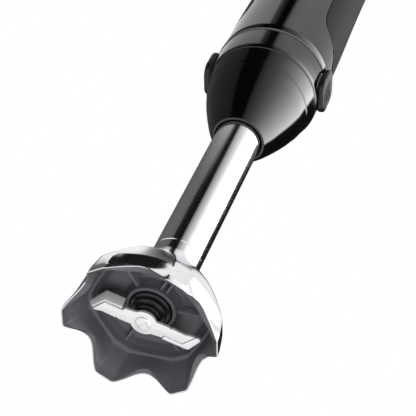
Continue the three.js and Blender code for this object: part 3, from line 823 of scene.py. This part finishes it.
def steel_bell_and_tube():
    skin = bell_skin()
    tube = turned([(TUBE_RADIUS, NECK + 6)] + [(TUBE_RADIUS, z) for z in (70, 100, 130, TUBE_TOP)], 96)
    modifier(skin, "SOLIDIFY", thickness=BELL_SKIN * MM, offset=-1, use_even_offset=False)
    soften(skin, 0.12, 2, 50)
    modifier(tube, "SOLIDIFY", thickness=TUBE_WALL * MM, offset=-1)
    piece = joined([skin, tube])
    return finish_piece(piece, "polished_bell_and_tube", "polished_steel", "attachment",
                        ("bell_shell", "shaft_tube"), 28)


# ---- splash liner ------------------------------------------------------------------------------
STEP = 13.4
ROOF = 21
BOSS = 11
SEAL = high("shaft_seal").y
LINER = [
    (33.2, 0), (32.35, 0), (29.4, 6.4), (26.45, STEP - 0.3), (25.9, STEP), (25.5, STEP + 0.15),
    (25, STEP + 0.7), (24.2, STEP + 3.2), (23.4, ROOF - 3), (22.4, ROOF - 1.2), (20.9, ROOF - 0.4),
    (17, ROOF - 0.1), (13.8, ROOF), (12.4, ROOF - 0.5), (11.8, ROOF - 1.8),
    (11.3, 17.6), (BOSS, 15.4), (BOSS - 0.4, 15), (SEAL + 0.7, 15),
    (SEAL + 0.3, 15.3), (SEAL + 0.3, 17.5),
]
# inner face of the skirt, [radius, height], a little fuller than a cone
SKIRT = [(32.35, 0), (31.6, 2), (30.5, 4), (29.2, 6.7), (27.9, 9.8), (26.4, STEP)]
SKIRT_TOP = 14
OUTER_FACE = 32.5
LEDGE = 26.46


def liner_bowl():
    rows = 92
    spans = [0]
    for (r0, z0), (r1, z1) in zip(LINER, LINER[1:]):
        spans.append(spans[-1] + math.hypot(r1 - r0, z1 - z0) + 0.35)

    def along(v):
        target = v * spans[-1]
        for i, (start, end) in enumerate(zip(spans, spans[1:])):
            if target <= end + 1e-9:
                t = (target - start) / (end - start)
                (r0, z0), (r1, z1) = LINER[i], LINER[i + 1]
                return r0 + (r1 - r0) * t, z0 + (z1 - z0) * t
        return LINER[-1]

    def place(u, v):
        angle = ANGLES[round(u * (len(ANGLES) - 1))]
        radius, z = along(v)
        rim = arch(angle)
        if z < SKIRT_TOP:
            z = rim + z * (SKIRT_TOP - rim) / SKIRT_TOP
            if radius > OUTER_FACE:
                radius = at_height(DOME_LINE, z) - BELL_SKIN - LINER_GAP
            elif radius > LEDGE:
                radius = at_height(SKIRT, z)
        roundness = 1 - eased(radius, 13, 19)
        x, y = faceted(angle, radius, min(at_height(FULLNESS, z), 0.3), roundness, 0.15)
        return x, y, z

    piece = sheet_of(len(ANGLES) - 1, rows, place)
    modifier(piece, "SOLIDIFY", thickness=1.0 * MM, offset=-1, use_even_offset=False)
    return piece


def liner_rib(inner, outer, low_z, width=1.1):
    rib = slab([(inner, -width / 2), (outer, -width / 2), (outer, width / 2), (inner, width / 2)], low_z,
               ROOF + 0.4, 0.25)
    return rib


def liner_ribs():
    """One rib or a pair of ribs above each foot, running out from the boss to the wall."""
    ribs = []
    for foot in range(FEET):
        angle = foot * 2 * math.pi / FEET
        shifts = (-1.4, 1.4) if foot % 2 else (0,)
        for shift in shifts:
            rib = liner_rib(BOSS + 0.2, 24.4, 16.3)
            rib.data.transform(Matrix.Translation((0, shift * MM, 0)))
            ribs.append(turn(rib, angle))
    return ribs


def splash_liner():
    piece = joined([liner_bowl()] + liner_ribs())
    return finish_piece(piece, "moulded_splash_liner", "liner_plastic", "attachment",
                        ("splash_liner",), 30)


steel_bell_and_tube()
splash_liner()


# ---- seal, blade and rivet ---------------------------------------------------------------------
def shaft_seal():
    """Stepped rubber seal: three rounded lips, the smallest nearest the blade."""
    bottom = low("shaft_seal").z
    profile = flowing([
        (2.7, bottom + 0.5), (3.4, bottom), (5.2, bottom), (6, bottom + 0.4), (6.1, bottom + 1.4),
    ], 4)
    profile += flowing([(5.6, bottom + 1.9), (6.4, bottom + 2.1), (7.5, bottom + 2.5), (7.7, bottom + 3.4),
                        (7.5, bottom + 4)], 4)
    profile += flowing([(6.9, bottom + 4.3), (8, bottom + 4.5), (8.9, bottom + 4.9), (SEAL, bottom + 5.8),
                        (SEAL, bottom + 7.6)], 4)
    profile += [(2.7, bottom + 7.6)]
    piece = turned(profile, 72, closed=True)
    return finish_piece(piece, "stepped_shaft_seal", "black_rubber", "attachment",
                        ("shaft_seal",), 40)


BLADE_TOP = BLADE_BOTTOM + 1.3


# one wing in its own axes, out along +X: leading edge with its nick, tip, fold line, neck
WING = [
    (5.3, -2.5), (6.4, -2.5), (11.2, -1.85), (11.35, -1.3), (11.8, -1.25), (12, -1.75), (18, -0.6),
    (19.8, -0.95), (22.2, -1), (17.6, 4.25), (17.1, 4.35), (9.9, 3.15), (9.3, 3.35),
    (8.95, 4), (8.5, 4.7), (7.2, 4.6),
]
HUB = 5.9


def blade_plate():
    """Hub and both wings up to their folds, in one piece."""
    outline = []
    for side in (1, -1):
        outline += [(side * x, side * y) for x, y in WING]
        arc = [math.radians(a) for a in range(52, 152, 8)]
        outline += [(side * HUB * math.cos(a), side * HUB * math.sin(a)) for a in arc]
    return slab(outline, BLADE_BOTTOM, BLADE_TOP, 0.14)


def blade_flap_flat():
    """The strip beyond the fold, left nearly flat on this wing and dropped a touch."""
    outline = [
        (9.15, 4.2), (9.5, 3.6), (10.1, 3.38), (17.1, 4.6), (17.8, 4.5), (22.6, -1), (24, -0.95),
        (24.6, -0.5), (24.6, 0.2), (20.9, 5.9), (20.3, 6.4), (19.4, 6.6), (8.7, 5.1),
    ]
    return slab(outline, BLADE_BOTTOM - 0.16, BLADE_TOP - 0.2, 0.14)


def blade_flap_folded():
    """The same strip folded up on the other wing: an upright flap that turns into a raised tip."""
    deselect()
    bpy.ops.mesh.primitive_grid_add(x_subdivisions=2, y_subdivisions=1, size=2)
    strip = bpy.context.object
    base = BLADE_TOP - 0.6
    foot_line = [(9.9, 3.75, base), (17.5, 4.95, base), (22.6, -0.75, base)]
    top_line = [(10, 4.9, BLADE_TOP + 4.3), (18.4, 6.2, BLADE_TOP + 4.3), (24.3, 0.2, BLADE_TOP + 1.4)]
    for vertex in strip.data.vertices:
        column = round(vertex.co.x + 1)
        line = top_line if vertex.co.y > 0 else foot_line
        vertex.co = Vector(line[column]) * MM
    modifier(strip, "SOLIDIFY", thickness=1.0 * MM, offset=0)
    tidy_surface(strip)
    soften(strip, 0.35, 3, 25)
    return strip


def blade():
    parts = [blade_plate(), blade_flap_flat(), turn(blade_flap_folded(), math.pi)]
    piece = turn(joined(parts), BLADE_ANGLE)
    return finish_piece(piece, "folded_blade", "ground_steel", "blade_shaft", ("blade",), 30)


def blade_rivet():
    """Low rivet head with two crescent pockets in its face."""
    bottom = low("blade_rivet").z
    top = BLADE_BOTTOM - 0.05
    profile = flowing([(0.3, bottom), (2.6, bottom + 0.05), (3.3, bottom + 0.3), (3.5, top)], 4)
    head = turned(profile + [(0.3, top)], 48, closed=True)
    cutters = []
    for side in (0, math.pi):
        sweep = [side + math.radians(a) for a in range(-55, 41, 12)]
        outer = [(2.55 * math.cos(a), 2.55 * math.sin(a)) for a in sweep]
        inner = [(1.5 * math.cos(a), 1.5 * math.sin(a)) for a in reversed(sweep)]
        cutters.append(slab(outer + inner, bottom - 1, top - 0.1, 0.01))
    cut(head, joined(cutters))
    return finish_piece(head, "notched_rivet", "ground_steel", "blade_shaft",
                        ("blade_rivet",), 30)


shaft_seal()
blade()
blade_rivet()


# ---- coupling and seam -------------------------------------------------------------------------
def pocket_cutter(angle, width, height, radius, centre, near, far):
    block = slab(rounded(width, height, radius), near, far, 0.01)
    aimed(block, angle)
    block.data.transform(Matrix.Translation((0, 0, centre * MM)))
    return block


def coupling():
    mouth = COUPLING_MOUTH
    outer = [
        (11.5, mouth + 0.4), (11.9, mouth + 0.05), (12.4, mouth), (12.9, mouth + 0.2), (13.3, mouth + 0.7),
    ]
    outer += flowing([
        (13.3, mouth + 0.7), (16.4, 149.6), (19.1, 156), (21.8, 163), (24, 169.6), (25.2, 174.6),
    ], 6)[1:]
    outer += [(25.3, 174.9), (25.65, 175.3), (27.1, 183), (27.2, 183.8)]
    outer += flowing([(27.35, 184.4), (27.9, 185.3), (28.05, 190), (SEAM_RADIUS, COUPLING_TOP - 0.3)], 5)
    outer += [(SEAM_RADIUS - 0.15, COUPLING_TOP), (SEAM_RADIUS - 2.1, COUPLING_TOP)]
    inner = [(25.9, 186), (25, 183.6), (23.4, 176), (19.4, 163.4), (14.4, 150.4), (11.6, mouth + 3)]
    piece = turned(outer + inner, 128, closed=True)
    for angle in (0, math.pi):
        height = 70
        bottom = RELEASE_CENTRE - 10.1
        cut(piece, pocket_cutter(angle, 18.7, height, 6.2, bottom + height / 2, 20, 40))
    return finish_piece(piece, "tulip_coupling", "gloss_black", "attachment",
                        ("coupling_shell",), 24)


def seam_ring():
    """Thin dark ring between coupling and handle, open at the release buttons."""
    lo, hi = low("seam_ring").z, high("seam_ring").z
    edge = high("seam_ring").y
    profile = [
        (22.1, lo), (edge - 0.25, lo), (edge, lo + 0.25), (edge, hi - 0.25), (edge - 0.25, hi), (22.1, hi),
    ]
    piece = turned(profile, 128, closed=True)
    for angle in (0, math.pi):
        cut(piece, pocket_cutter(angle, 18.7, 70, 6.2, RELEASE_CENTRE + 24.9, 22.9, 40))
    return finish_piece(piece, "seam_ring_trim", "liner_plastic", "attachment",
                        ("seam_ring",), 30)


coupling()
seam_ring()


# ---- handle ------------------------------------------------------------------------------------
HANDLE = [
    (SEAM_RADIUS, SEAM), (SEAM_RADIUS, 215), (28, 240), (27.3, 275), (27, 305), (27.3, 335), (27.8, 362),
    (27.4, HANDLE_TOP),
]
GRIP_DEPTH = 1.9
GRIP_BOTTOM = low("grip_sleeve").z - 0.3
GRIP_TOP = high("grip_sleeve").z + 0.3
FRONT_STRIP = [
    (28.4, GRIP_BOTTOM - 8), (27.9, 218), (27, 223), (24, 226.4), (21, 230.6), (19.6, 240), (19, 270),
    (19, 300), (19.4, 350), (20.6, 361), (24, 366.6), (27.6, 369), (28.4, GRIP_TOP + 8),
]


def handle_radius(z):
    return at_height(HANDLE_LINE, z)


HANDLE_LINE = flowing(HANDLE, 8)


def handle_skin(bottom, top, deep, shallow, edge, segments=144):
    """A closed sleeve between two depths below the handle's surface, its outer edges rounded."""
    heights = [bottom + edge + (top - bottom - 2 * edge) * k / 40 for k in range(41)]
    foot = handle_radius(bottom) - shallow
    head = handle_radius(top) - shallow
    outer = [(foot - edge, bottom), (foot - 0.3 * edge, bottom + 0.3 * edge)]
    outer += [(handle_radius(z) - shallow, z) for z in heights]
    outer += [(head - 0.3 * edge, top - 0.3 * edge), (head - edge, top)]
    inner = [(handle_radius(z) - deep, z) for z in (top, 340, 300, 260, bottom)]
    return turned(outer + inner, segments, closed=True)


def front_strip(extra):
    half = flowing([(x + extra, z) for x, z in FRONT_STRIP], 5)
    outline = half + [(-x, z) for x, z in reversed(half)]
    return aimed(slab(outline, 0, 40, 0.01), FRONT)


def button_hole(height):
    return pocket_cutter(FRONT, 17.6, 22.6, 8.2, height, 15, 40)


def handle_shell():
    """Gloss shell, sunk where the soft grip wraps round its sides and back."""
    piece = handle_skin(SEAM, HANDLE_TOP, GRIP_DEPTH + 1.9, 0, 0.35)
    recess = handle_skin(GRIP_BOTTOM, GRIP_TOP, GRIP_DEPTH + 0.3, -5, 0.01)
    cut(recess, front_strip(0))
    cut(piece, recess)
    cut(piece, button_hole(POWER_CENTRE))
    cut(piece, button_hole(TURBO_CENTRE))
    for angle in (0, math.pi):
        cut(piece, pocket_cutter(angle, 18.6, 20.1, 6.2, RELEASE_CENTRE, 22, 40))
    return finish_piece(piece, "gloss_handle_shell", "gloss_black", "handle",
                        ("handle_shell",), 28)


def grip_sleeve():
    piece = handle_skin(GRIP_BOTTOM + 0.3, GRIP_TOP - 0.3, GRIP_DEPTH, -0.1, 0.5)
    cut(piece, front_strip(0.3))
    soften(piece, 0.4, 2, 50)
    return finish_piece(piece, "soft_grip_sleeve", "soft_touch", "handle", ("grip_sleeve",), 32)


def key_cap(name, centre, body, node, marks):
    """Rounded key standing proud of the gloss strip, with raised marks for the thumb."""
    front = -low(node).y
    cap = slab(rounded(17, 22, 7.7, 9), front - 8, front, 1.1)
    dish = slab(rounded(11.5, 16.5, 5.2, 9), front - 0.35, front + 3, 0.01)
    cut(cap, dish)
    parts = [cap]
    for x, y, width, height in marks:
        outline = rounded(width, height, min(width, height) * 0.49, 5, (x, y))
        parts.append(slab(outline, front - 1, front - 0.05, 0.12))
    stem = slab(rounded(5, 5, 1), 18.3, front - 7.5, 0.1)
    piece = aimed(joined(parts + [stem]), FRONT)
    piece.data.transform(Matrix.Translation((0, 0, centre * MM)))
    return finish_piece(piece, name, "soft_touch", body, (node,), 35)


def release_button(side, angle):
    node = "release_button_" + side
    far = abs(low(node).x) if side == "left" else high(node).x
    pad = slab(rounded(18, 19.5, 5.7, 9), far - 3.8, far, 1.3)
    ridges = [slab(rounded(9, 0.9, 0.44, 4, (0, y)), far - 0.6, far + 0.3, 0.18) for y in (-3, 0, 3)]
    piece = aimed(joined([pad] + ridges), angle)
    piece.data.transform(Matrix.Translation((0, 0, RELEASE_CENTRE * MM)))
    return finish_piece(piece, "release_pad_" + side, "black_rubber", "release_" + side,
                        (node,), 35)


def rod_cutter(radius, bottom, top, y):
    bpy.ops.mesh.primitive_cylinder_add(vertices=72, radius=radius * MM, depth=(top - bottom) * MM,
                                        location=(0, y * MM, (top + bottom) / 2 * MM))
    cutter = bpy.context.object
    settle(cutter)
    return cutter


DIAL_Y = (low("speed_dial").y + high("speed_dial").y) / 2
GLAND_Y = (low("cord_gland").y + high("cord_gland").y) / 2


def top_cap():
    bottom = HANDLE_TOP + 0.3
    crown = flowing([(27.4, bottom + 0.5), (27.2, 386), (26, 390.4), (23.4, 393.4), (20, 394.5), (12, 394.75),
                     (0.4, 394.8)], 8)
    profile = [(0.4, bottom + 2), (20, bottom + 2), (20, bottom - 5), (23, bottom - 5), (23, bottom),
               (27.1, bottom), (27.3, bottom + 0.2)] + crown
    piece = turned(profile, 144, closed=True)
    cut(piece, rod_cutter(12.3, 392, 400, DIAL_Y))
    cut(piece, rod_cutter(3.3, 370, 400, DIAL_Y))
    cut(piece, rod_cutter(5.8, 370, 400, GLAND_Y))
    return finish_piece(piece, "domed_top_cap", "gloss_black", "handle", ("top_cap",), 30)


def speed_dial():
    """Thumb wheel with thirty shallow flutes and a raised pointer."""
    flutes = [(math.radians(a), 11.75 + 0.25 * math.cos(30 * math.radians(a))) for a in range(0, 360, 2)]
    outline = [(r * math.cos(a), r * math.sin(a)) for a, r in flutes]
    top = high("speed_dial").z
    wheel = slab(outline, 392.3, top - 0.4, 0.6)
    pointer = slab(rounded(1.4, 6, 0.69, 5, (0, -7)), top - 1, top, 0.2)
    circle = [(3 * math.cos(k * math.pi / 18), 3 * math.sin(k * math.pi / 18)) for k in range(36)]
    stem = slab(circle, 376, 393, 0.2)
    piece = joined([wheel, pointer, stem])
    piece.data.transform(Matrix.Translation((0, DIAL_Y * MM, 0)))
    return finish_piece(piece, "fluted_dial", "soft_touch", "dial", ("speed_dial",), 30)


def cord_gland():
    """Rubber gland with three rings outside and a bore for the lead."""
    bottom = low("cord_gland").z
    profile = [(3.6, bottom), (6.9, bottom), (6.9, bottom + 7.7), (5.5, bottom + 7.7), (5.5, 394.6)]
    profile += [
        (5.2, 394.9), (5.4, 395.3), (5.4, 395.7), (5, 396), (5.1, 396.4), (4.8, 397),
        (3.8, 397), (3.6, 396.7),
    ]
    piece = turned(profile, 72, closed=True)
    piece.data.transform(Matrix.Translation((0, GLAND_Y * MM, 0)))
    return finish_piece(piece, "ringed_cord_gland", "black_rubber", "handle",
                        ("cord_gland",), 30)


handle_shell()
grip_sleeve()
key_cap("power_key_cap", POWER_CENTRE, "power_key", "power_button", [(0, 0, 2.4, 6)])
key_cap("turbo_key_cap", TURBO_CENTRE, "turbo_key", "turbo_button", [(0, y, 6, 1.2) for y in (-2.6, 0, 2.6)])
release_button("right", 0)
release_button("left", math.pi)
top_cap()
speed_dial()
cord_gland()


# ---- CAD nodes that stay, with their finishes ---------------------------------------------------
KEPT = {
    "machined_steel": ["blade_collar", "drive_shaft", "shaft_washer", "motor_shaft", "release_spring_right",
                       "release_spring_left", "motor_bracket_lower", "motor_bracket_upper",
                       "motor_screw_right", "motor_screw_left"],
    "liner_plastic": ["coupling_core", "base_plate", "dial_potentiometer"],
    "black_rubber": ["drive_socket", "power_switch", "turbo_switch"],
    "pale_nylon": ["bush_housing", "drive_dog", "latch_hook_right", "latch_hook_left", "cooling_fan",
                   "terminal_block"],
    "sintered_bronze": ["lower_bush", "upper_bush", "bearing_lower", "bearing_upper", "brush_holder_front",
                        "brush_holder_rear"],
    "stacked_steel": ["motor_field", "rotor_core"],
    "enamelled_copper": ["field_coil_rear", "field_coil_front", "rotor_winding", "commutator"],
    "pressed_carbon": ["brush_front", "brush_rear"],
    "board_lacquer": ["circuit_board"],
}
for finish, names in KEPT.items():
    for name in names:
        NODES[name].data.materials.clear()
        NODES[name].data.materials.append(FINISHES[finish])
